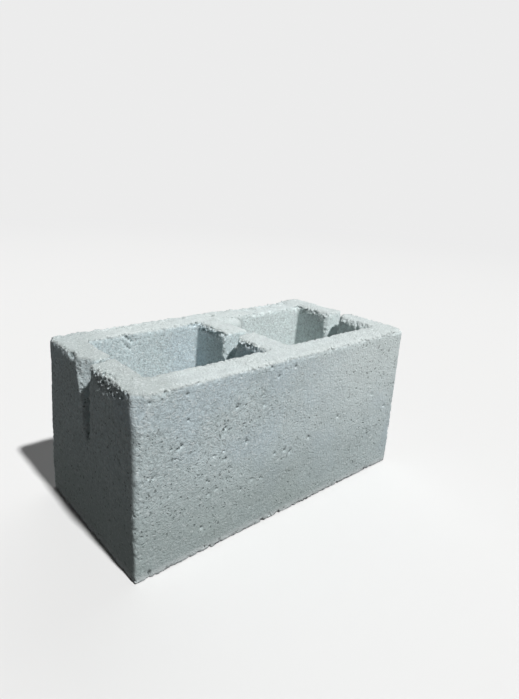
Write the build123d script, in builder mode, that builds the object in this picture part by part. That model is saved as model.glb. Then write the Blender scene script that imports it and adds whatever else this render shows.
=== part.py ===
"""Hollow concrete block: one cast piece with two cores, three webs and a wedge slot along its top.

The block stands as it came out of its mould. The origin is the middle of its underside, +X runs
along its length and +Z points up. All sizes are in millimetres.
"""
import os

from build123d import *

# Overall size, that of a standard walling block
LENGTH = 390.0
WIDTH = 190.0
HEIGHT = 188.0

# Wall thicknesses, measured along the top where the walls are thinnest
LONG_WALL = 34.0  # the two long walls
END_WEB = 31.0  # the cross walls at the ends
CENTRE_WEB = 35.0  # the cross wall between the cores

# Cores: open from top to bottom, and narrower below so that the mould draws out of them
CORE_TAPER = 2.5  # wall gained on every side of a core between the top and the underside
CORE_CORNER = 4.0  # radius of a core's upright corners
CORE_RIM = 4.0  # rounding of the worn edge around a core's mouth

# Slot: the wedge that the mould's bar leaves across the tops of all three webs
SLOT_MOUTH = 22.0  # width at the top
SLOT_FOOT = 4.0  # width at the bottom
SLOT_DEPTH = 82.0
SLOT_SHIFT = -1.0  # the bar hung a little off the middle, towards the front wall
SLOT_FOOT_RADIUS = 1.5
SLOT_LIP = 2.5  # rounding of the worn edges along the mouth

# Outer edges
UPRIGHT_CORNER = 6.0  # radius of the four upright corners
TOP_EDGE = 3.0
BOTTOM_EDGE = 2.0

# Sizes that follow from those above
core_length = (LENGTH - 2 * END_WEB - CENTRE_WEB) / 2
core_width = WIDTH - 2 * LONG_WALL
core_offset = (CENTRE_WEB + core_length) / 2


with BuildPart() as concrete_block:
    # Outer body with its upright corners and its worn top and bottom edges
    with BuildSketch():
        RectangleRounded(LENGTH, WIDTH, UPRIGHT_CORNER)
    extrude(amount=HEIGHT)
    fillet(concrete_block.edges().group_by(Axis.Z)[-1], radius=TOP_EDGE)
    fillet(concrete_block.edges().group_by(Axis.Z)[0], radius=BOTTOM_EDGE)

    # The two cores, drawn in from the top to the underside
    for core_x in (-core_offset, core_offset):
        with BuildSketch():
            with Locations((core_x, 0)):
                RectangleRounded(core_length - 2 * CORE_TAPER, core_width - 2 * CORE_TAPER, CORE_CORNER)
        with BuildSketch(Plane.XY.offset(HEIGHT)):
            with Locations((core_x, 0)):
                RectangleRounded(core_length, core_width, CORE_CORNER)
        loft(mode=Mode.SUBTRACT)

    # The worn edge around each core's mouth
    top_face = concrete_block.faces().sort_by(Axis.Z)[-1]
    for mouth in top_face.inner_wires():
        fillet(mouth.edges(), radius=CORE_RIM)

    # The wedge slot, cut along the whole block; only the webs have anything to cut
    with BuildSketch(Plane.YZ.offset(-LENGTH / 2)) as slot_section:
        with BuildLine():
            Polyline(
                (SLOT_SHIFT - SLOT_MOUTH / 2, HEIGHT),
                (SLOT_SHIFT - SLOT_FOOT / 2, HEIGHT - SLOT_DEPTH),
                (SLOT_SHIFT + SLOT_FOOT / 2, HEIGHT - SLOT_DEPTH),
                (SLOT_SHIFT + SLOT_MOUTH / 2, HEIGHT),
                close=True,
            )
        make_face()
        # A strip lying on the block's top, for the rounded lips to run out into
        with Locations((SLOT_SHIFT, HEIGHT)):
            Rectangle(SLOT_MOUTH + 4 * SLOT_LIP, SLOT_LIP, align=(Align.CENTER, Align.MIN))
        mouth_corners = slot_section.vertices().group_by(Axis.Y)[1].sort_by(Axis.X)[1:3]
        fillet(mouth_corners, radius=SLOT_LIP)
        fillet(slot_section.vertices().group_by(Axis.Y)[0], radius=SLOT_FOOT_RADIUS)
    extrude(amount=LENGTH, mode=Mode.SUBTRACT)

concrete_block.part.label = "concrete_block"

os.makedirs("parts", exist_ok=True)
export_step(concrete_block.part, "parts/concrete_block.step")
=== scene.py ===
"""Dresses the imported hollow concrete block: its worn and pitted shape, its sandy finish and the studio."""
import logging
from dataclasses import dataclass, fields
from enum import Enum
from math import cos, radians, sin
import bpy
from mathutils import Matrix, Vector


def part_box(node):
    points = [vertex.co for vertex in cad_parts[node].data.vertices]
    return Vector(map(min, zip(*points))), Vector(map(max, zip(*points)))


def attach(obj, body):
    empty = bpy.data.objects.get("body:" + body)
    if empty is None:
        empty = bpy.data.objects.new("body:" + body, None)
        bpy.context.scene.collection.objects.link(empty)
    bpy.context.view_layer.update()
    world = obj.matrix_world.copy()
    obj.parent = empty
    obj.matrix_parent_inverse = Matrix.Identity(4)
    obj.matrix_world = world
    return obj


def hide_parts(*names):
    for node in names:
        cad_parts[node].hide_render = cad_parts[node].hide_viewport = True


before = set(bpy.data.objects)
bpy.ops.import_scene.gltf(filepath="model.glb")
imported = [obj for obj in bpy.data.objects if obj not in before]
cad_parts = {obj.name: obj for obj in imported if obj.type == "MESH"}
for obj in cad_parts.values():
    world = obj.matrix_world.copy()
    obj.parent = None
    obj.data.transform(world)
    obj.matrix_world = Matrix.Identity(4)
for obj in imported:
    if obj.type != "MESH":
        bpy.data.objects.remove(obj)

from types import SimpleNamespace
from typing import Any, Union

import bpy
from mathutils import Matrix, Vector

log = logging.getLogger("block")

MM = 0.001  # one millimetre in metres
NODE = "concrete_block"  # the CAD node that the block stands for
PIECE = "cast_block"
PHOTO_WIDTH, PHOTO_HEIGHT = 519, 699  # in pixels

# Names that the node trees share
GEOMETRY = "Geometry"
PIT_MARKS = "pit marks"
EDGE_MARK, PIT_MARK = "edge", "pit"

# Sizes of the block's shape that several steps use, in millimetres
FINE_CELL, QUICK_CELL = 1.05, 1.6  # the cells that it is grown from
EDGE_REACH, SHORT_REACH = 5.0, 4.0  # how far from an edge its wear goes
LEAST_SKIN = 0.4  # how far the top and the underside stay inside the CAD's
SHAVED_TURN = (0.5, 0.866)  # the slant that the near left corner is shaved at, as a direction seen from above
SEED_STEP = (13.7, 5.3, 9.1)  # how far one step of the seed moves the noise along X, Y and Z

Triple = tuple[float, float, float]
Colour = tuple[float, float, float]
Number = Union["Value", float]


class SocketKind(Enum):
    """What a tree's named input carries."""

    NUMBER = "NodeSocketFloat"
    GEOMETRY = "NodeSocketGeometry"
    OBJECT = "NodeSocketObject"


class Value:
    """A number that varies over a tree; Python's operators on it add Math nodes."""

    def __init__(self, graph: "Graph", socket: bpy.types.NodeSocket) -> None:
        """Wraps one output socket.

        Args:
            graph: the graph that the socket's node is in.
            socket: the output that carries the number.
        """
        self.graph = graph
        self.socket = socket

    def __add__(self, other: Number) -> "Value":
        """Adds a number."""
        return self.graph.math("ADD", self, other)

    def __radd__(self, other: Number) -> "Value":
        """Is added to a number."""
        return self.graph.math("ADD", other, self)

    def __sub__(self, other: Number) -> "Value":
        """Subtracts a number."""
        return self.graph.math("SUBTRACT", self, other)

    def __rsub__(self, other: Number) -> "Value":
        """Is subtracted from a number."""
        return self.graph.math("SUBTRACT", other, self)

    def __mul__(self, other: Number) -> "Value":
        """Multiplies by a number."""
        return self.graph.math("MULTIPLY", self, other)

    def __rmul__(self, other: Number) -> "Value":
        """Multiplies a number."""
        return self.graph.math("MULTIPLY", other, self)

    def __truediv__(self, other: Number) -> "Value":
        """Divides by a number."""
        return self.graph.math("DIVIDE", self, other)

    def __rtruediv__(self, other: Number) -> "Value":
        """Divides a number."""
        return self.graph.math("DIVIDE", other, self)

    def __neg__(self) -> "Value":
        """Changes the sign."""
        return self.graph.math("MULTIPLY", self, -1.0)

    def __abs__(self) -> "Value":
        """Drops the sign."""
        return self.graph.math("ABSOLUTE", self)

    def at_least(self, other: Number) -> "Value":
        """The larger of this and a number."""
        return self.graph.math("MAXIMUM", self, other)

    def at_most(self, other: Number) -> "Value":
        """The smaller of this and a number."""
        return self.graph.math("MINIMUM", self, other)

    def above(self, floor: float) -> "Value":
        """What this has beyond a floor, and 0 below it."""
        return (self - floor).at_least(0.0)

    def ramp(self, start: Number, end: Number) -> "Value":
        """Rises smoothly from 0 to 1.

        Args:
            start: where it is 0.
            end: where it is 1, which may lie below start.

        Returns:
            The ramp's height at this value.
        """
        node = self.graph.node("ShaderNodeMapRange", {"interpolation_type": "SMOOTHSTEP"},
                               {"Value": self, "From Min": start, "From Max": end, "To Min": 0.0, "To Max": 1.0})
        return Value(self.graph, node.outputs["Result"])


class Graph:
    """A node tree under construction."""

    def __init__(self, tree: bpy.types.NodeTree) -> None:
        """Starts on a tree and clears it."""
        self.tree = tree
        self.identifiers: dict[str, str] = {}
        tree.nodes.clear()

    def node(self, kind: str, settings: dict[str, Any] | None = None,
             inputs: dict[Any, Any] | None = None) -> bpy.types.Node:
        """Adds one node.

        Args:
            kind: the node's type name.
            settings: properties to set before any socket.
            inputs: socket name or index to a number, a colour, a Value or an output socket.

        Returns:
            The node.
        """
        node = self.tree.nodes.new(kind)
        for name, setting in (settings or {}).items():
            setattr(node, name, setting)
        for key, value in (inputs or {}).items():
            socket = value.socket if isinstance(value, Value) else value
            if isinstance(socket, bpy.types.NodeSocket):
                self.tree.links.new(socket, node.inputs[key])
            else:
                node.inputs[key].default_value = value
        return node

    def entry(self, name: str, kind: SocketKind = SocketKind.NUMBER) -> bpy.types.NodeSocket:
        """Adds a named input to the whole tree.

        Args:
            name: the input's name.
            kind: what it carries.

        Returns:
            The socket that carries it inside the tree.
        """
        made = self.tree.interface.new_socket(name, in_out="INPUT", socket_type=kind.value)
        self.identifiers[name] = made.identifier
        inlet = next((node for node in self.tree.nodes if node.bl_idname == "NodeGroupInput"), None)
        inlet = inlet or self.tree.nodes.new("NodeGroupInput")
        return next(output for output in inlet.outputs if output.identifier == made.identifier)

    def math(self, operation: str, *numbers: Number) -> Value:
        """Adds a Math node on the given numbers."""
        return Value(self, self.node("ShaderNodeMath", {"operation": operation}, dict(enumerate(numbers))).outputs[0])

    def vector_math(self, operation: str, *vectors: Any) -> bpy.types.NodeSocket:
        """Adds a Vector Math node and gives its vector output."""
        return self.node("ShaderNodeVectorMath", {"operation": operation}, dict(enumerate(vectors))).outputs[0]

    def scaled(self, vector: bpy.types.NodeSocket, factor: float) -> bpy.types.NodeSocket:
        """Scales a vector by one number."""
        return self.vector_math("MULTIPLY", vector, (factor, factor, factor))

    def vector(self, x: Number, y: Number, z: Number) -> bpy.types.NodeSocket:
        """Joins three numbers into a vector."""
        return self.node("ShaderNodeCombineXYZ", None, {0: x, 1: y, 2: z}).outputs[0]

    def parts(self, vector: bpy.types.NodeSocket) -> tuple[Value, Value, Value]:
        """Splits a vector into its three numbers."""
        node = self.node("ShaderNodeSeparateXYZ", None, {0: vector})
        return tuple(Value(self, output) for output in node.outputs)

    def length(self, vector: bpy.types.NodeSocket) -> Value:
        """The length of a vector."""
        return Value(self, self.node("ShaderNodeVectorMath", {"operation": "LENGTH"}, {0: vector}).outputs["Value"])

    def distance(self, where: bpy.types.NodeSocket, centre: Triple) -> Value:
        """How far each place is from a centre."""
        return self.length(self.vector_math("SUBTRACT", where, centre))

    def noise(self, where: bpy.types.NodeSocket, size: float, detail: float = 2.0, roughness: float = 0.5) -> Value:
        """Soft noise from 0 to 1.

        Args:
            where: the coordinates, in millimetres.
            size: the width of its largest blots, in millimetres.
            detail: how many finer layers it has.
            roughness: how strong each finer layer is.

        Returns:
            The noise, with its middle at 0.5.
        """
        node = self.node("ShaderNodeTexNoise", {"noise_dimensions": "3D"},
                         {"Vector": where, "Scale": 1.0 / size, "Detail": detail, "Roughness": roughness})
        return Value(self, node.outputs[0])

    def wobble(self, where: bpy.types.NodeSocket, size: float, amount: Triple) -> bpy.types.NodeSocket:
        """A vector that wanders about zero.

        Args:
            where: the coordinates, in millimetres.
            size: how far apart its changes are, in millimetres.
            amount: how far it wanders along X, Y and Z, in millimetres.

        Returns:
            The vector, in millimetres.
        """
        node = self.node("ShaderNodeTexNoise", {"noise_dimensions": "3D"},
                         {"Vector": where, "Scale": 1.0 / size, "Detail": 1.0})
        middled = self.vector_math("SUBTRACT", node.outputs["Color"], (0.5, 0.5, 0.5))
        return self.vector_math("MULTIPLY", middled, amount)

    def cells(self, where: bpy.types.NodeSocket, size: float) -> tuple[Value, Value]:
        """Scattered points, one in each cell.

        Args:
            where: the coordinates, in millimetres.
            size: the distance between neighbouring points, in millimetres.

        Returns:
            The distance to the nearest point in millimetres, and a random number from 0 to 1 of its own.
        """
        node = self.node("ShaderNodeTexVoronoi", {"voronoi_dimensions": "3D", "feature": "F1"},
                         {"Vector": where, "Scale": 1.0 / size, "Randomness": 1.0})
        luck, _, _ = self.parts(node.outputs["Color"])
        return Value(self, node.outputs["Distance"]) * size, luck


@dataclass(frozen=True)
class Lump:
    """One oval lump that has broken away or that juts out.

    Attributes:
        centre: its middle, in millimetres.
        reach: its half sizes along X, Y and Z, in millimetres.
    """

    centre: Triple
    reach: Triple

    def outside(self, graph: Graph, where: bpy.types.NodeSocket) -> Value:
        """Measures about how far outside the lump each place is.

        Args:
            graph: the graph to write in.
            where: the coordinates, in millimetres.

        Returns:
            The distance in millimetres, negative inside the lump.
        """
        from_centre = graph.vector_math("SUBTRACT", where, self.centre)
        return (graph.length(graph.vector_math("DIVIDE", from_centre, self.reach)) - 1.0) * min(self.reach)


@dataclass
class Solid:
    """A solid under construction.

    Attributes:
        outside: how far outside it a place is, in millimetres, and negative inside it.
        edge: 0 on its faces and 1 along its edges.
    """

    outside: Value
    edge: Number = 0.0

    def keep(self, other: Value, radius: Number, reach: Number = EDGE_REACH) -> "Solid":
        """Keeps what also lies inside another shape, and rounds the edge between them.

        Args:
            other: how far outside the other shape a place is.
            radius: the rounding of the edge.
            reach: how far from the edge its wear goes.

        Returns:
            The solid that is left.
        """
        graph = other.graph
        past_this = (self.outside + radius).at_least(0.0)
        past_other = (other + radius).at_least(0.0)
        corner = graph.math("SQRT", past_this * past_this + past_other * past_other)
        outside = self.outside.at_least(other).at_most(-1.0 * radius) + corner
        nearness = self.outside.at_most(other).ramp(-1.0 * reach, 0.0)
        return Solid(outside, nearness.at_least(self.edge))


@dataclass(frozen=True)
class Mould:
    """What one of the block's trees works with.

    Attributes:
        graph: the tree.
        place: the coordinates, in millimetres.
        sizes: the tree's named sizes.
        incoming: the geometry that comes into the tree.
        pit_points: the geometry whose points are the pits.
    """

    graph: Graph
    place: bpy.types.NodeSocket
    sizes: SimpleNamespace
    incoming: bpy.types.NodeSocket
    pit_points: bpy.types.NodeSocket


@dataclass(frozen=True)
class Wear:
    """Where each place of the block is, and what its wear is made of.

    Attributes:
        mould: the tree, with its plain coordinates and sizes.
        seeded: the coordinates moved on by the seed, for noise to read.
        bent: the coordinates bent a little, so that no face is dead flat.
        x: the bent coordinates' part along the length.
        y: their part across the width.
        z: their part upwards.
        coarse: noise from 0 to 1, with the widest blots.
        crumble: the same, with blots half as wide.
        toothed: the same, with blots as wide as a tooth of a rim.
        rubbing: how far the edges are rubbed down, in millimetres.
        notches: how deep the rims are notched between their teeth, in millimetres.
        left_end: 0 to 1 over the last few millimetres before the left end's face.
        right_end: 0 to 1 over the last hand's width before the right end's face.
        calm: 0 at the near left corner's tip, which is whole, and 1 away from it.
        web_face: 1 on the faces that end a core towards the right, which crumble most.
        broken: 1 on the strip under the left end's top edge that is broken all over.
    """

    mould: Mould
    seeded: bpy.types.NodeSocket
    bent: bpy.types.NodeSocket
    x: Value
    y: Value
    z: Value
    coarse: Value
    crumble: Value
    toothed: Value
    rubbing: Value
    notches: Value
    left_end: Value
    right_end: Value
    calm: Value
    web_face: Value
    broken: Value


@dataclass
class BlockBody:
    """The cast block with its crumbled edges, bumpy top, pits and chips. Sizes are in millimetres.

    Attributes:
        length: the CAD's size along X.
        width: the CAD's size along Y.
        height: the CAD's size along Z.
        long_wall: thickness of the two long walls at the top.
        end_web: thickness of the webs at the ends, at the top.
        centre_web: thickness of the web between the cores, at the top.
        core_taper: what a wall gains on each side of a core down to the underside.
        core_corner: radius of a core's upright corners.
        slot_near_lip: from the slot's middle to its near lip, where it doesn't flare.
        slot_far_lip: the same to its far lip.
        slot_foot: the slot's width at its bottom.
        slot_depth: the slot's depth.
        slot_shift: where the slot's middle lies along Y.
        upright_corner: radius of the outer upright corners near the foot, where they are least worn.
        side_skin: how far the sides lie inside the CAD's, which leaves room for sand and bumps.
        top_skin: the same for the top.
        pit_radius: radius of a pit before its edge crumbles.
        cell: size of the cells that the block is grown from.
        smallest_island: faces of the smallest skin that is kept, so that closed bubbles inside go.
        seed: which of the noise's many patterns the block has.
        triangles: how many triangles its skin is thinned to.
        ledge: the rough lump left beside the centre web.
        chips: the lumps that have broken away.
        pits: the middles of the pits that the photograph shows.
    """

    length: float
    width: float
    height: float
    long_wall: float = 34.0
    end_web: float = 31.0
    centre_web: float = 35.0
    core_taper: float = 2.5
    core_corner: float = 3.5
    slot_near_lip: float = 4.5
    slot_far_lip: float = 7.0
    slot_foot: float = 4.0
    slot_depth: float = 82.0
    slot_shift: float = -1.0
    upright_corner: float = 2.0
    side_skin: float = 0.9
    top_skin: float = 0.8
    pit_radius: float = 1.5
    cell: float = FINE_CELL
    smallest_island: float = 20000.0
    seed: float = 7.0
    triangles: int = 196000
    ledge: Lump = Lump((32.0, 66.0, 172.0), (24.0, 15.0, 14.0))
    chips: tuple[Lump, ...] = (
        # Round the left end's top edge
        Lump((-197.0, 33.0, 188.0), (7.0, 11.0, 8.0)),
        Lump((-199.0, 16.0, 184.0), (7.0, 7.0, 12.0)),
        Lump((-199.0, -22.0, 189.0), (8.0, 10.0, 8.0)),
        Lump((-196.0, -11.0, 181.0), (3.0, 5.0, 12.0)),
        Lump((-199.0, -47.0, 189.0), (7.0, 13.0, 14.0)),
        # On the front, along its foot and in its middle
        Lump((-179.0, -96.5, 5.0), (3.0, 4.0, 7.0)),
        Lump((-134.0, -97.0, -1.0), (4.0, 4.5, 4.0)),
        Lump((158.0, -97.0, -1.0), (9.0, 4.0, 4.0)),
        Lump((-10.0, -95.5, 80.0), (3.0, 2.6, 2.2)),
        # Along the top's far edge
        Lump((-193.0, 98.0, 190.0), (9.0, 8.0, 6.0)),
        Lump((-168.0, 99.0, 191.0), (9.0, 7.0, 6.0)),
        Lump((-92.0, 99.0, 190.0), (16.0, 6.0, 5.0)),
        Lump((-60.0, 99.0, 190.0), (9.0, 6.0, 5.0)),
        Lump((12.0, 99.0, 190.0), (13.0, 6.0, 4.5)),
        Lump((96.0, 99.0, 190.0), (20.0, 7.0, 5.0)),
        # At the slot's mouth in the right core
        Lump((158.0, 8.0, 190.0), (9.0, 8.0, 6.0)),
    )
    pits: tuple[Triple, ...] = (
        (-180, -94, 178), (-67, -94, 108), (-108, -94, 105), (-158, -94, 128), (-151, -94, 126), (-147, -94, 128),
        (-153, -94, 116), (-93, -94, 97), (-182, -94, 107), (-176, -94, 105), (-190, -94, 98), (-112, -94, 65),
        (-103, -94, 67), (-71, -94, 54), (-56, -94, 28), (-115, -94, 80), (-90, -94, 73), (-56, -94, 61),
        (-43, -94, 58), (-120, -94, 30), (-1, -94, 76), (28, -94, 85), (77, -94, 97), (141, -94, 110),
        (172, -94, 87), (-25, -94, 81), (-28, -94, 170), (-4, -94, 176), (-39, -94, 182), (-83, -94, 150),
        (-46, -94, 143), (-142, -94, 177), (-166, -94, 184), (-177, -94, 184), (-39, -84, 186), (24, 46, 186),
        (-37, 58, 186), (-15, -18, 186), (17, 76, 186), (-118, 61, 185), (-115.5, 61, 182.5), (-113, 61, 180),
        (-110.5, 61, 177), (-118, 61, 173), (-115, 61, 170.5), (-112, 61, 168.5), (-122, 61, 185),
    )

    def solid(self, mould: Mould) -> tuple[Value, Solid]:
        """Describes the whole block.

        Args:
            mould: the tree to write in, with its coordinates and sizes.

        Returns:
            How far outside the worn block a place is, and the block before its pits, chips and crumbled edges.
        """
        wear = self._wear(mould)
        body = self._cut_slot(wear, self._cut_cores(wear, self._outer_body(wear)))
        body = Solid(body.outside, body.edge.at_least(wear.broken))
        return self._crumble(wear, body).at_least(-self._missing(wear, body)), body

    @staticmethod
    def _core_size(sizes: SimpleNamespace) -> tuple[Value, Value]:
        """A core's length at the top, and how far its middle is from the block's."""
        core_length = (sizes.length - 2.0 * sizes.end_web - sizes.centre_web) / 2.0
        return core_length, (sizes.centre_web + core_length) / 2.0

    def _wear(self, mould: Mould) -> Wear:
        """Sets up the coordinates and the noises that the block's wear is made of.

        Args:
            mould: the tree to write in, with its coordinates and sizes.

        Returns:
            The coordinates and noises.
        """
        graph, place, s = mould.graph, mould.place, mould.sizes
        seeded = graph.vector_math("ADD", place, graph.vector(*(s.seed * step for step in SEED_STEP)))
        bent = graph.vector_math("ADD", place, graph.wobble(seeded, 45.0, (1.8, 1.8, 0.0)))
        x, y, z = graph.parts(bent)
        coarse = graph.noise(seeded, 18.0, 2.0)
        crumble = graph.noise(seeded, 8.0, 2.0, 0.6)
        left_end = x.ramp(-181.0, -193.0)
        _, core_offset = self._core_size(s)

        # The teeth are drawn out across the web, longest beside the centre web and shortest at the far left
        drawn_out = graph.vector_math("MULTIPLY", seeded, (0.5, 1.2, 0.8))
        by_web = 1.0 + abs(x).ramp(50.0, 20.0) * 0.6 - x.ramp(60.0, 120.0) * 0.2
        far_left = x.ramp(-150.0, -180.0) * y.ramp(0.0, 20.0)
        notches = (graph.noise(drawn_out, 4.0, 3.0, 0.7).above(0.47) * 20.0 * z.ramp(174.0, 185.0)
                   * by_web * (1.0 - far_left * 0.5))
        return Wear(
            mould=mould, seeded=seeded, bent=bent, x=x, y=y, z=z, coarse=coarse, crumble=crumble,
            toothed=graph.noise(seeded, 3.6, 2.0, 0.7),
            rubbing=coarse.above(0.44) * 8.0 + crumble.above(0.47) * 14.0,
            notches=notches, left_end=left_end, right_end=x.ramp(120.0, 180.0),
            calm=graph.distance(place, (-193.0, -93.0, 178.0)).ramp(9.0, 26.0),
            web_face=(x - graph.math("SIGN", x) * core_offset).ramp(55.0, 68.0),
            broken=left_end * z.ramp(166.0, 180.0) * y.ramp(-13.0, -22.0) * y.ramp(-84.0, -62.0))

    def _outer_body(self, wear: Wear) -> Solid:
        """Shapes the block's outside: its sides, corners, top and underside.

        Args:
            wear: the tree's coordinates and noises.

        Returns:
            The block without its cores and slot.
        """
        graph, place, s = wear.mould.graph, wear.mould.place, wear.mould.sizes
        x, y, z = wear.x, wear.y, wear.z

        # The top is bumpy, most of all along its far edge, rises at the far right corner and dips before it
        rising = graph.distance(place, (184.0, 86.0, self.height)).ramp(30.0, 10.0)
        dip = abs(x - 118.0).ramp(90.0, 20.0) * y.ramp(30.0, 75.0)
        far_strip = y.ramp(70.0, 90.0)
        uneven = (wear.crumble - 0.5) * 7.0 + (wear.toothed - 0.5) * 5.0 - 0.3
        bumps = ((wear.coarse - 0.5) * 3.4 + (wear.crumble - 0.5) * 2.4 + far_strip * uneven
                 + rising * 2.6 + wear.right_end * 0.8 - dip * 2.4)
        top = z - (s.height - s.top_skin + bumps).at_most(s.height - LEAST_SKIN)

        # The upright corners are rounder near the top, and the near left one is shaved off at a slant
        corner = s.upright_corner + z.ramp(30.0, 180.0) * (7.0 + wear.rubbing * 0.5)
        body = Solid(abs(x) - s.length / 2 + s.side_skin + wear.notches * wear.left_end * 0.6)
        body = body.keep(abs(y) - s.width / 2 + s.side_skin, corner)
        shaved = z.ramp(0.0, 60.0) * 2.6 + z.ramp(140.0, 178.0) * 5.4
        turn_x, turn_y = SHAVED_TURN
        slant = shaved - x * turn_x - y * turn_y - s.length * (turn_x / 2) - s.width * (turn_y / 2) + 0.6
        body = body.keep(slant, 1.5, 3.0)
        body = Solid(body.outside, body.edge * 0.6)

        # The top's edge is rounder at the near right corner and at the near left corner's tip
        softened = graph.distance(place, (190.0, -95.0, self.height)).ramp(24.0, 6.0)
        top_edge = 1.3 + wear.rubbing * (1.0 - wear.right_end * 0.7) + softened * 5.0 + (1.0 - wear.calm) * 2.0
        return body.keep(top, top_edge).keep(LEAST_SKIN - z, LEAST_SKIN, SHORT_REACH)

    def _cut_cores(self, wear: Wear, body: Solid) -> Solid:
        """Cuts the two tapered cores, and leaves the rough ledge beside the centre web.

        Args:
            wear: the tree's coordinates and noises.
            body: the block before its cores.

        Returns:
            The block with its cores.
        """
        graph, s = wear.mould.graph, wear.mould.sizes
        x, y, z = wear.x, wear.y, wear.z
        core_length, core_offset = self._core_size(s)
        narrowing = s.core_taper - z * (s.core_taper / s.height)
        past_end = abs(abs(x) - core_offset) - core_length / 2.0 + narrowing + s.core_corner
        past_side = abs(y) - s.width / 2 + s.long_wall + narrowing + s.core_corner
        past_corner = graph.vector(past_end.at_least(0.0), past_side.at_least(0.0), 0.0)
        core = past_end.at_least(past_side).at_most(0.0) + graph.length(past_corner) - s.core_corner

        # The rims are rounder on the centre web's far half and at the right end, and nibbled on the front wall
        worn_web = abs(x - s.centre_web / 2).ramp(9.0, 3.0) * y.ramp(0.0, 12.0)
        rubbed = x.ramp(100.0, 150.0) * y.ramp(50.0, 10.0) * 3.5 + 0.3
        rim = 1.5 + wear.rubbing * (0.8 - wear.web_face * 0.4) + worn_web * 4.0 + wear.web_face * rubbed
        nibbled = wear.toothed.above(0.5) * 12.0 * z.ramp(178.0, 186.0) * y.ramp(-45.0, -58.0)
        body = body.keep(wear.notches * wear.web_face + nibbled - core, rim)
        return Solid(body.outside.at_most(self.ledge.outside(graph, wear.bent)), body.edge)

    def _cut_slot(self, wear: Wear, body: Solid) -> Solid:
        """Cuts the wedge slot, whose mouth flares where it leaves a web.

        Args:
            wear: the tree's coordinates and noises.
            body: the block before its slot.

        Returns:
            The block with its slot.
        """
        s = wear.mould.sizes
        x, y, z = wear.x, wear.y, wear.z
        rise = z - s.height + s.slot_depth
        flare = (abs(x + s.centre_web / 2.0).ramp(14.0, 0.0)
                 + abs(x - s.length / 2.0 + s.end_web).ramp(14.0, 0.0))
        end_flare = x.ramp(24.0 - s.length / 2.0, -s.length / 2.0)
        near_lip = s.slot_near_lip + flare * 9.5 + end_flare * 4.5 - x.ramp(-100.0, -120.0) * 2.5
        far_lip = s.slot_far_lip + flare * 2.5 + wear.left_end * 12.5 - abs(x + 167.0).ramp(20.0, 4.0) * 1.5
        half_foot = s.slot_foot / 2.0
        near_side = s.slot_shift - y - half_foot - rise * ((near_lip - half_foot) / s.slot_depth)
        far_side = y - s.slot_shift - half_foot - rise * ((far_lip - half_foot) / s.slot_depth)
        slot = Solid(near_side.at_least(far_side)).keep(-rise, 1.5, 1.0).outside
        beyond = (y - s.slot_shift).ramp(0.0, 4.0)
        return body.keep(-slot, 1.0 + wear.rubbing * 0.5 + beyond * 1.6, SHORT_REACH)

    def _crumble(self, wear: Wear, body: Solid) -> Value:
        """Crumbles the edges away grain by grain, and strews grit and a fine relief over the faces.

        Args:
            wear: the tree's coordinates and noises.
            body: the block with its cores and slot.

        Returns:
            How far outside the crumbled block a place is.
        """
        graph, seeded = wear.mould.graph, wear.seeded
        _, grain_luck = graph.cells(seeded, 4.4)
        _, lump_luck = graph.cells(seeded, 7.0)
        crumbs = (wear.toothed.above(0.42) * 9.0 + wear.crumble.above(0.5) * 6.0 + grain_luck.above(0.5) * 6.0
                  + lump_luck.above(0.35) * wear.web_face.at_least(wear.broken) * 8.0)
        loss = body.edge * crumbs * (wear.z.ramp(4.0, 60.0) * 0.9 + 0.1) * (wear.calm * 0.85 + 0.15)
        grit_distance, grit_luck = graph.cells(seeded, 3.2)
        grit = grit_distance - 0.9 - grit_luck * 1.1
        relief = (graph.noise(seeded, 2.6, 1.0) - 0.5) * 0.8
        return (body.outside + loss).at_most(grit.at_least(body.outside - 0.1)) + relief.at_least(-0.2)

    def _missing(self, wear: Wear, body: Solid) -> Value:
        """Gathers what is missing: scattered holes, the pits, nicks along the foot and the chips.

        Args:
            wear: the tree's coordinates and noises.
            body: the block with its cores and slot.

        Returns:
            How far outside the missing bits a place is.
        """
        mould, seeded = wear.mould, wear.seeded
        graph, place = mould.graph, mould.place
        ragged = graph.vector_math("ADD", seeded, graph.wobble(seeded, 2.6, (2.6, 2.6, 2.6)))
        hole_distance, hole_luck = graph.cells(ragged, 11.0)
        holes = hole_distance - hole_luck.above(0.87) * 12.0

        shaken = graph.wobble(seeded, 2.0, (1.2 * MM, 1.2 * MM, 1.2 * MM))
        marks = graph.node("GeometryNodeProximity", {"target_element": "POINTS"}, {
            0: mould.pit_points, "Source Position": graph.vector_math("ADD", graph.scaled(place, MM), shaken)})
        pits = Value(graph, marks.outputs["Distance"]) / MM - mould.sizes.pit_radius - wear.crumble.above(0.45) * 4.0

        nicks = wear.z - (wear.crumble * 0.4 + wear.toothed * 0.6 - 0.52) * 45.0
        missing = holes.at_most(pits).at_most(nicks.at_least(-3.0 - body.outside))
        ragged_chip = (wear.toothed - 0.5) * 6.0
        for chip in self.chips:
            missing = missing.at_most(chip.outside(graph, place) + ragged_chip)
        return missing

    def mould(self, name: str) -> Mould:
        """Starts a tree that has the block's sizes as named inputs.

        Args:
            name: the tree's name.

        Returns:
            The tree, with its coordinates and sizes.
        """
        tree = bpy.data.node_groups.new(name, "GeometryNodeTree")
        graph = Graph(tree)
        incoming = graph.entry(GEOMETRY, SocketKind.GEOMETRY)
        tree.interface.new_socket(GEOMETRY, in_out="OUTPUT", socket_type=SocketKind.GEOMETRY.value)
        sizes = SimpleNamespace(**{one.name: Value(graph, graph.entry(one.name))
                                   for one in fields(self) if one.type is float})
        marks = graph.node("GeometryNodeObjectInfo", None, {0: graph.entry(PIT_MARKS, SocketKind.OBJECT)})
        place = graph.scaled(graph.node("GeometryNodeInputPosition").outputs[0], 1 / MM)
        return Mould(graph, place, sizes, incoming, marks.outputs["Geometry"])

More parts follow.
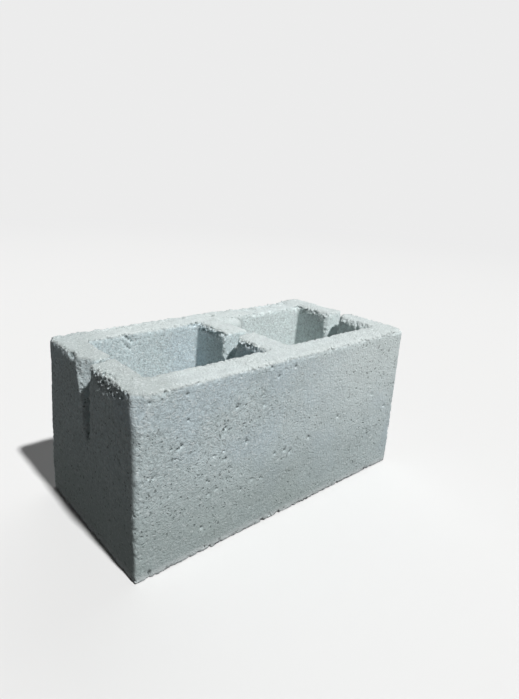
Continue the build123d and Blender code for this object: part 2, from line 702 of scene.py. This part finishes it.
    def casting_tree(self) -> Graph:
        """Writes the tree that grows the block as a solid of small cells and skins it.

        Returns:
            The graph.
        """
        mould = self.mould("block casting")
        graph, s = mould.graph, mould.sizes
        worn, _ = self.solid(mould)
        margin = 1.5
        reach_x, reach_y = s.length / 2.0 + margin, s.width / 2.0 + margin
        cells = graph.node("GeometryNodeVolumeCube", None, {
            "Density": -worn, "Background": -margin,
            "Min": graph.scaled(graph.vector(-reach_x, -reach_y, -margin), MM),
            "Max": graph.scaled(graph.vector(reach_x, reach_y, s.height + margin), MM),
            "Resolution X": 2.0 * reach_x / s.cell + 1.0, "Resolution Y": 2.0 * reach_y / s.cell + 1.0,
            "Resolution Z": (s.height + 2.0 * margin) / s.cell + 1.0})
        skin = graph.node("GeometryNodeVolumeToMesh", {"resolution_mode": "GRID"},
                          {"Volume": cells.outputs[0], "Threshold": 0.0, "Adaptivity": 0.0})

        # The holes deep inside the block come out as closed bubbles, which nothing shows
        island = graph.node("GeometryNodeInputMeshIsland").outputs["Island Index"]
        faces = graph.node("GeometryNodeAccumulateField", {"data_type": "INT", "domain": "FACE"},
                           {"Value": 1, "Group ID": island}).outputs["Total"]
        bubble = graph.math("LESS_THAN", Value(graph, faces), s.smallest_island)
        whole = graph.node("GeometryNodeDeleteGeometry", {"domain": "FACE", "mode": "ALL"},
                           {"Geometry": skin.outputs[0], "Selection": bubble})
        real = graph.node("GeometryNodeRealizeInstances", None, {"Geometry": whole.outputs[0]})
        graph.node("NodeGroupOutput", None, {0: real.outputs[0]})
        return graph

    def marking_tree(self, material: bpy.types.Material) -> Graph:
        """Writes the tree that notes on the skin how near an edge and how deep in a pit each place is.

        Args:
            material: the finish that the skin carries.

        Returns:
            The graph.
        """
        mould = self.mould("block marks")
        graph = mould.graph
        _, plain = self.solid(mould)
        marked = mould.incoming
        pit = -plain.outside * (1.0 - plain.edge)
        for name, value in ((EDGE_MARK, plain.edge), (PIT_MARK, pit)):
            marked = graph.node("GeometryNodeStoreNamedAttribute", {"data_type": "FLOAT", "domain": "POINT"},
                                {"Geometry": marked, "Name": name, "Value": value}).outputs[0]
        smooth = graph.node("GeometryNodeSetShadeSmooth", None, {"Geometry": marked})
        real = graph.node("GeometryNodeRealizeInstances", None, {"Geometry": smooth.outputs[0]})
        finished = graph.node("GeometryNodeSetMaterial", None, {"Geometry": real.outputs[0], "Material": material})
        graph.node("NodeGroupOutput", None, {0: finished.outputs[0]})
        return graph

    def run(self, graph: Graph, mesh: bpy.types.Mesh, marks: bpy.types.Object, name: str) -> bpy.types.Mesh:
        """Runs one of the block's trees on a mesh.

        Args:
            graph: the finished tree.
            mesh: what the tree starts from.
            marks: the object whose points are the pits.
            name: the new mesh's name.

        Returns:
            The tree's result, as a plain mesh.
        """
        holder = place_piece("holder", mesh)
        modifier = holder.modifiers.new("cast", "NODES")
        modifier.node_group = graph.tree
        for entry, identifier in graph.identifiers.items():
            if entry == PIT_MARKS:
                modifier[identifier] = marks
            elif entry != GEOMETRY:
                modifier[identifier] = float(getattr(self, entry))
        result = plain_mesh(holder, name)
        bpy.data.objects.remove(holder)
        return result

    def build(self, material: bpy.types.Material) -> bpy.types.Object:
        """Makes the block's mesh.

        Args:
            material: the finish it carries.

        Returns:
            The finished piece, at the origin.
        """
        points = bpy.data.meshes.new("pit marks")
        points.from_pydata([Vector(pit) * MM for pit in self.pits], [], [])
        marks = place_piece("pit_marks", points)
        raw = self.run(self.casting_tree(), bpy.data.meshes.new("start"), marks, "raw block")
        log.info("block skinned with %d faces", len(raw.polygons))
        holder = place_piece("holder", raw)
        thin = holder.modifiers.new("thin", "DECIMATE")
        thin.ratio = min(1.0, self.triangles / (2 * len(raw.polygons)))
        thinned = plain_mesh(holder, "thinned block")
        bpy.data.objects.remove(holder)
        mesh = self.run(self.marking_tree(material), thinned, marks, PIECE)
        bpy.data.objects.remove(marks)
        return place_piece(PIECE, mesh)


def plain_mesh(piece: bpy.types.Object, name: str) -> bpy.types.Mesh:
    """Turns an object with its modifiers into a plain mesh.

    Args:
        piece: the object, with its modifiers set.
        name: the new mesh's name.

    Returns:
        The mesh that the modifiers give.
    """
    evaluated = piece.evaluated_get(bpy.context.evaluated_depsgraph_get())
    mesh = bpy.data.meshes.new_from_object(evaluated)
    mesh.name = name
    return mesh


def place_piece(name: str, mesh: bpy.types.Mesh) -> bpy.types.Object:
    """Puts a mesh in the scene as a piece at the origin.

    Args:
        name: the piece's name.
        mesh: its mesh.

    Returns:
        The piece.
    """
    piece = bpy.data.objects.new(name, mesh)
    bpy.context.scene.collection.objects.link(piece)
    return piece


@dataclass(frozen=True)
class Zones:
    """Where the finish changes over the block, each from 0 to 1 unless it says otherwise.

    Attributes:
        pit: how deep in a pit or chip a place is, in millimetres.
        top: on the top, and on the rough ledge beside the centre web.
        inside: in the cores.
        darker_left_top: on the left end, where the top is darker.
        foot: towards the foot of the outer faces, most of all on the left.
        sandy_foot: a painted highlight on the last few millimetres above the ground.
        sunny: painted light, where the outer faces are paler towards the top right and the right core is paler.
        rim: along the upper edges.
        rough: where the front is roughest, towards the top left.
    """

    pit: Value
    top: Value
    inside: Value
    darker_left_top: Value
    foot: Value
    sandy_foot: Value
    sunny: Value
    rim: Value
    rough: Value


@dataclass(frozen=True)
class Grain:
    """The patterns in the concrete, each from 0 to 1.

    Attributes:
        clouds: soft blots as wide as a palm.
        tints: wider ones, where the paste is bluer and its pores more closed.
        blots: blots a few millimetres wide.
        flecks: smaller, scattered ones.
        sand: the finest of them.
        grains: a random number for each grain of sand.
        pores: 1 in the small open pores.
    """

    clouds: Value
    tints: Value
    blots: Value
    flecks: Value
    sand: Value
    grains: Value
    pores: Value


@dataclass(frozen=True)
class ConcreteFinish:
    """Pale sandy dry-cast concrete: pale paste with fine sand and a few small open pores.

    Attributes:
        pale: the paste where it is lightest.
        dull: the paste where it is darkest.
        blue: its bluish tint.
        clean: the paler colour painted as light where the faces are lit most.
        top: the top.
        darker_left_top: the darker colour of the top's left end.
        rim: the colour mixed in along the upper edges.
        pore_and_pit_shade: painted shade at the bottoms of pores and pits, in the pits partly dirt.
        bright: the brightest grains of sand, and the painted highlight along the foot.
        foot: the darker colour towards the foot.
        roughness: how matt it is.
        bump: height of its finest relief, in millimetres.
    """

    pale: Colour = (0.60, 0.69, 0.705)
    dull: Colour = (0.45, 0.525, 0.53)
    blue: Colour = (0.54, 0.645, 0.70)
    clean: Colour = (0.70, 0.78, 0.775)
    top: Colour = (0.625, 0.68, 0.67)
    darker_left_top: Colour = (0.415, 0.46, 0.45)
    rim: Colour = (0.53, 0.58, 0.575)
    pore_and_pit_shade: Colour = (0.10, 0.13, 0.13)
    bright: Colour = (0.78, 0.83, 0.83)
    foot: Colour = (0.35, 0.41, 0.395)
    roughness: float = 0.92
    bump: float = 0.5

    def mix(self, graph: Graph, factor: Value, first: Any, second: Any) -> bpy.types.NodeSocket:
        """Mixes two colours.

        Args:
            graph: the material's graph.
            factor: 0 for the first colour and 1 for the second.
            first: a colour, or the socket that carries one.
            second: the same for the second.

        Returns:
            The socket that carries the mixed colour.
        """
        first, second = ((*one, 1.0) if isinstance(one, tuple) else one for one in (first, second))
        return graph.node("ShaderNodeMix", {"data_type": "RGBA"}, {"Factor": factor, 6: first, 7: second}).outputs[2]

    def zones(self, graph: Graph, place: bpy.types.NodeSocket) -> Zones:
        """Marks out where the finish changes.

        Args:
            graph: the material's graph.
            place: the coordinates, in millimetres.

        Returns:
            The zones.
        """
        x, y, z = graph.parts(place)
        edge, pit = (Value(graph, graph.node("ShaderNodeAttribute", {"attribute_name": name}).outputs["Fac"])
                     for name in (EDGE_MARK, PIT_MARK))
        on_ledge = z.ramp(155.0, 172.0) * abs(x - 32.0).ramp(32.0, 20.0) * y.ramp(45.0, 56.0)
        top = z.ramp(183.5, 186.0).at_least(on_ledge)
        inside = abs(x).ramp(170.0, 165.0) * abs(y).ramp(68.0, 63.0) * (1.0 - top)
        outside = 1.0 - inside
        # Painted light: paler towards the top right of the outer faces, and in the right core
        sunny = x.ramp(-60.0, 140.0) * z.ramp(40.0, 170.0) * outside + x.ramp(-10.0, 30.0) * inside
        return Zones(
            pit=pit, top=top, inside=inside, darker_left_top=x.ramp(-120.0, -165.0),
            foot=z.ramp(130.0, 10.0) * (x.ramp(160.0, -20.0) * 0.6 + 0.4) * outside,
            sandy_foot=z.ramp(11.0, 3.0) * outside,
            sunny=sunny * (1.0 - top),
            rim=edge * z.ramp(120.0, 180.0) * (y.ramp(-86.0, -92.0) * 0.25 + 0.5),
            rough=x.ramp(60.0, -140.0) * z.ramp(40.0, 150.0) * outside)

    def grain(self, graph: Graph, place: bpy.types.NodeSocket, zones: Zones) -> Grain:
        """Lays out the patterns in the concrete.

        Args:
            graph: the material's graph.
            place: the coordinates, in millimetres.
            zones: where the finish changes.

        Returns:
            The patterns.
        """
        ragged = graph.vector_math("ADD", place, graph.wobble(place, 1.5, (0.9, 0.9, 0.9)))
        strewn = graph.vector_math("ADD", ragged, graph.wobble(place, 13.0, (11.0, 11.0, 11.0)))
        tints = graph.noise(graph.vector_math("ADD", place, (310.0, 90.0, 40.0)), 80.0, 2.0, 0.5)
        _, grains = graph.cells(ragged, 1.7)
        fine_distance, fine_luck = graph.cells(strewn, 3.0)
        wide_distance, wide_luck = graph.cells(strewn, 6.5)
        fine_pores = (fine_luck.above(0.55) * 2.8 - fine_distance).ramp(-0.4, 0.4) * 0.6
        wide_pores = (wide_luck.above(0.78) * 6.5 - wide_distance).ramp(-0.5, 0.4) * 0.85
        open_grain = tints.ramp(0.62, 0.4) * 0.7 + 0.3
        pores = fine_pores.at_least(wide_pores) * open_grain * (1.0 - zones.top * 0.6) * (1.0 - zones.inside * 0.5)
        return Grain(
            clouds=graph.noise(place, 60.0, 3.0, 0.55), tints=tints, blots=graph.noise(place, 6.0, 3.0, 0.65),
            flecks=graph.noise(strewn, 3.6, 2.0, 0.6), sand=graph.noise(place, 2.2, 2.0, 0.75),
            grains=grains, pores=pores)

    def colour(self, graph: Graph, zones: Zones, grain: Grain) -> bpy.types.NodeSocket:
        """Mixes the concrete's colour, from the paste up to its pores.

        Args:
            graph: the material's graph.
            zones: where the finish changes.
            grain: the patterns in the concrete.

        Returns:
            The socket that carries the colour.
        """
        tone = ((grain.clouds - 0.5) * 1.2 + (grain.blots - 0.5) * 1.0 + (grain.sand - 0.5) * 2.2
                + 0.52 + zones.inside * 0.5)
        paste = self.mix(graph, tone.at_least(0.0).at_most(1.0), self.dull, self.pale)
        blued = self.mix(graph, grain.tints.ramp(0.45, 0.65) * 0.5, paste, self.blue)
        footed = self.mix(graph, zones.foot * 0.75, blued, self.foot)
        # Painted light: the sunny zone is mixed towards a paler colour
        sunlit_paste = self.mix(graph, zones.sunny * 0.95, footed, self.clean)
        sand_depth = 0.1 + zones.inside * 0.7
        fleck_depth = 0.3 + zones.rough * 0.75 + zones.inside * 0.5
        speckle = 1.0 + (grain.sand - 0.5) * sand_depth + (grain.flecks - 0.5) * fleck_depth
        speckled = graph.vector_math("MULTIPLY", sunlit_paste, graph.vector(speckle, speckle, speckle))
        rimmed = self.mix(graph, zones.rim, speckled, self.rim)
        left_darkened_top = self.mix(graph, zones.darker_left_top * 0.75 + (grain.blots - 0.5) * 0.4, self.top, self.darker_left_top)
        topped = self.mix(graph, zones.top * 0.8, rimmed, left_darkened_top)
        grains = grain.grains.ramp(0.75, 1.0) * (0.5 - zones.foot * 0.25)
        # Bright grains of sand, and a painted highlight along the last few millimetres above the ground
        grains_and_highlight = self.mix(graph, grains.at_least(zones.sandy_foot * 0.55), topped, self.bright)
        # Painted shade: the pores and the deeper pits and chips are darkened towards near-black, the pits partly by
        # dirt
        return self.mix(graph, (grain.pores + zones.pit.ramp(0.7, 1.8) * 0.7).at_most(0.9), grains_and_highlight, self.pore_and_pit_shade)

    def material(self) -> bpy.types.Material:
        """Builds the concrete material.

        Returns:
            The material.
        """
        material = bpy.data.materials.new("sandy concrete")
        material.use_nodes = True
        graph = Graph(material.node_tree)
        where = graph.node("ShaderNodeTexCoord").outputs["Object"]
        place = graph.node("ShaderNodeMapping", None, {"Vector": where, "Scale": (1 / MM, 1 / MM, 1 / MM)}).outputs[0]
        zones = self.zones(graph, place)
        grain = self.grain(graph, place, zones)
        relief = (grain.sand - 0.5) * 1.8 + (grain.blots - 0.5) * 0.8 + grain.grains * 0.4
        height = relief * (1.0 + zones.top * 0.8) - grain.pores * 1.6
        bump = graph.node("ShaderNodeBump", None, {"Strength": 1.0, "Distance": self.bump * MM, "Height": height})
        shader = graph.node("ShaderNodeBsdfPrincipled", None,
                            {"Base Color": self.colour(graph, zones, grain), "Roughness": self.roughness,
                             "Normal": bump.outputs[0]})
        graph.node("ShaderNodeOutputMaterial", None, {"Surface": shader.outputs[0]})
        return material


@dataclass(frozen=True)
class Lamp:
    """One far, even lamp.

    Attributes:
        name: its name.
        towards: the direction from the block to the lamp.
        angle: how wide it looks from the block, in degrees.
        strength: its strength, where pi lights a white face that looks straight at it fully.
    """

    name: str
    towards: Triple
    angle: float
    strength: float

    def build(self) -> None:
        """Puts the lamp in the scene."""
        data = bpy.data.lights.new(self.name, "SUN")
        data.angle = radians(self.angle)
        data.energy = self.strength
        lamp = bpy.data.objects.new(self.name, data)
        away = Vector(self.towards).normalized()
        lamp.matrix_world = Matrix.LocRotScale(away, away.to_track_quat("Z", "Y"), None)
        bpy.context.scene.collection.objects.link(lamp)


@dataclass(frozen=True)
class Studio:
    """The pale floor, the lamps and the camera that took the photograph's view.

    Attributes:
        eye: where the camera stands, in millimetres.
        turn: how far it stands round the block from the front, in degrees.
        tilt: how far it looks down, in degrees.
        roll: how far it is tipped sideways, in degrees.
        focal_pixels: its focal length, in the photograph's pixels.
        middle_pixel: the pixel that it looks straight at, because the photograph is cropped.
        sensor: the width of its sensor, in millimetres.
        backdrop: how pale the backdrop is, and the floor far from the block.
        floor_colour: the floor's colour near the block.
        floor_reach: from the floor's middle to its sides, in metres.
        fade: how far from the block the floor starts and ends its change to the backdrop, in metres.
        bounce: how pale the floor is to the block, so that little light comes up from it.
        fill: strength of the even light from all round.
        lamps: the two lamps.
    """

    eye: Triple = (-386.93, -429.0, 360.78)
    turn: float = -39.449
    tilt: float = 17.102
    roll: float = 2.927
    focal_pixels: float = 515.258
    middle_pixel: tuple[float, float] = (217.92, 334.53)
    sensor: float = 36.0
    backdrop: float = 0.84
    floor_colour: Colour = (0.76, 0.76, 0.755)
    floor_reach: float = 12.0
    fade: tuple[float, float] = (0.7, 3.5)
    bounce: float = 0.07
    fill: float = 0.05
    lamps: tuple[Lamp, ...] = (
        Lamp("key", (0.03, -0.529, 0.843), 3.0, 3.75),
        Lamp("back", (0.75, 0.55, 0.35), 70.0, 0.9),
    )

    def camera(self) -> None:
        """Places the camera as the photograph was taken."""
        data = bpy.data.cameras.new("camera")
        data.sensor_width = self.sensor
        longer = max(PHOTO_WIDTH, PHOTO_HEIGHT)
        data.lens = self.focal_pixels * self.sensor / longer
        data.shift_x = (PHOTO_WIDTH / 2 - self.middle_pixel[0]) / longer
        data.shift_y = (self.middle_pixel[1] - PHOTO_HEIGHT / 2) / longer
        data.clip_start = 0.01
        turn, tilt, roll = radians(self.turn), radians(self.tilt), radians(self.roll)
        back = Vector((sin(turn) * cos(tilt), -cos(turn) * cos(tilt), sin(tilt)))
        level = Vector((cos(turn), sin(turn), 0.0))
        upright = back.cross(level)
        right = cos(roll) * level + sin(roll) * upright
        above = cos(roll) * upright - sin(roll) * level
        camera = bpy.data.objects.new("camera", data)
        camera.matrix_world = Matrix.LocRotScale(
            Vector(self.eye) * MM, Matrix((right, above, back)).transposed(), None)
        bpy.context.scene.collection.objects.link(camera)
        bpy.context.scene.camera = camera

    @staticmethod
    def seen(graph: Graph) -> Value:
        """Tells the rays that show the background from those that light the block.

        Args:
            graph: the floor's or the world's graph.

        Returns:
            1 for rays from the camera, straight or by way of gloss or glass, and 0 for the others.
        """
        rays = graph.node("ShaderNodeLightPath")
        return (Value(graph, rays.outputs["Is Camera Ray"]) + Value(graph, rays.outputs["Is Glossy Ray"])
                + Value(graph, rays.outputs["Is Transmission Ray"])).at_most(1.0)

    def floor(self) -> None:
        """Lays the pale floor, which fades into the backdrop far from the block."""
        mesh = bpy.data.meshes.new("floor")
        reach = self.floor_reach
        mesh.from_pydata([(-reach, -reach, 0), (reach, -reach, 0), (reach, reach, 0), (-reach, reach, 0)],
                         [], [(0, 1, 2, 3)])
        material = bpy.data.materials.new("pale floor")
        material.use_nodes = True
        graph = Graph(material.node_tree)
        where = graph.node("ShaderNodeTexCoord").outputs["Object"]
        fading = graph.length(where).ramp(*self.fade)
        near = graph.node("ShaderNodeBsdfDiffuse", None, {"Color": (*self.floor_colour, 1.0)})
        far = graph.node("ShaderNodeEmission", None, {"Color": grey(self.backdrop), "Strength": 1.0})
        dark = graph.node("ShaderNodeBsdfDiffuse", None, {"Color": grey(self.bounce)})
        shown = graph.node("ShaderNodeMixShader", None, {0: fading, 1: near.outputs[0], 2: far.outputs[0]})
        both = graph.node("ShaderNodeMixShader", None, {0: self.seen(graph), 1: dark.outputs[0], 2: shown.outputs[0]})
        graph.node("ShaderNodeOutputMaterial", None, {"Surface": both.outputs[0]})
        mesh.materials.append(material)
        place_piece("floor", mesh)

    def world(self) -> None:
        """Gives even light from all round, with a pale backdrop for the camera."""
        world = bpy.data.worlds.new("studio")
        world.use_nodes = True
        graph = Graph(world.node_tree)
        fill = graph.node("ShaderNodeBackground", None, {"Color": grey(1.0), "Strength": self.fill})
        backdrop = graph.node("ShaderNodeBackground", None, {"Color": grey(self.backdrop), "Strength": 1.0})
        both = graph.node("ShaderNodeMixShader", None,
                          {0: self.seen(graph), 1: fill.outputs[0], 2: backdrop.outputs[0]})
        graph.node("ShaderNodeOutputWorld", None, {"Surface": both.outputs[0]})
        bpy.context.scene.world = world

    def build(self) -> None:
        """Sets the whole studio up."""
        self.camera()
        self.floor()
        self.world()
        for lamp in self.lamps:
            lamp.build()
        bpy.context.scene.view_settings.view_transform = "Standard"


def grey(level: float) -> tuple[float, float, float, float]:
    """An opaque grey."""
    return level, level, level, 1.0


def main() -> None:
    """Builds the block and its studio, and reports each piece."""
    logging.basicConfig(level=logging.INFO, format="%(message)s")
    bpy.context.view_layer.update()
    low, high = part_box(NODE)
    length, width, height = ((high[axis] - low[axis]) / MM for axis in range(3))
    cell = FINE_CELL
    finish = ConcreteFinish().material()
    block = BlockBody(length, width, height, cell=cell).build(finish)
    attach(block, "root")
    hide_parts(NODE)
    log.info("%s: %d triangles", block.name, sum(len(face.vertices) - 2 for face in block.data.polygons))
    Studio().build()


if __name__ == "__main__":
    main()
